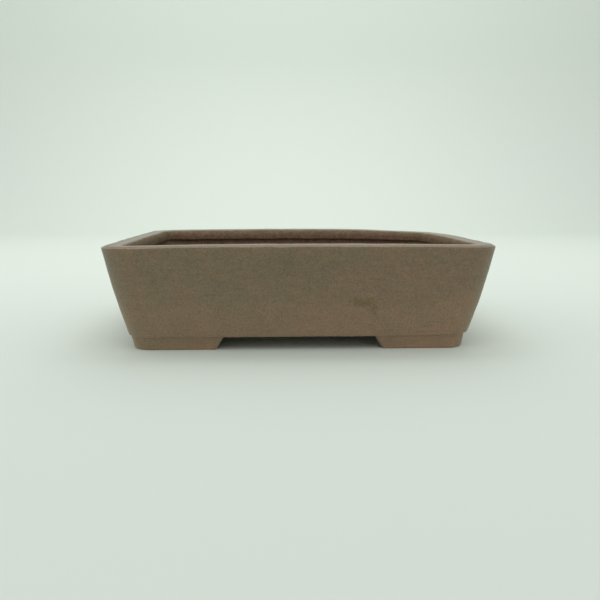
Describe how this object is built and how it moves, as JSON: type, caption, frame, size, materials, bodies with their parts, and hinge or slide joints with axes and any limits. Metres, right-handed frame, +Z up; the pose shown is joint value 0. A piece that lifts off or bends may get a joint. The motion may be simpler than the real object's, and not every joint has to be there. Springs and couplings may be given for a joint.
{
  "type": "bonsai pot",
  "caption": "Shallow rectangular unglazed stoneware pot with flared walls, a broad flat rim with an inner lip, low L-shaped corner feet, and drain and tie-wire holes in its floor.",
  "frame": {"origin": "on the ground, under the middle of the pot", "axes": "+X to the right along the length, the front face looks along -Y, +Z up out of the pot's mouth"},
  "size_m": [0.1996, 0.1496, 0.055],
  "materials": {
    "stoneware": "unglazed matte, olive brown, mottled",
    "stoneware_inside": "unglazed matte, redder and darker brown"
  },
  "bodies": {
    "root": {"front_wall": "stoneware", "rear_wall": "stoneware", "left_wall": "stoneware", "right_wall": "stoneware", "front_lip": "stoneware", "rear_lip": "stoneware", "left_lip": "stoneware", "right_lip": "stoneware", "front_left_foot": "stoneware", "front_right_foot": "stoneware", "rear_left_foot": "stoneware", "rear_right_foot": "stoneware", "floor_slab": "stoneware_inside", "front_floor_coil": "stoneware_inside", "rear_floor_coil": "stoneware_inside", "left_floor_coil": "stoneware_inside", "right_floor_coil": "stoneware_inside", "front_left_corner_coil": "stoneware_inside", "front_right_corner_coil": "stoneware_inside", "rear_left_corner_coil": "stoneware_inside", "rear_right_corner_coil": "stoneware_inside"}
  },
  "joints": []
}
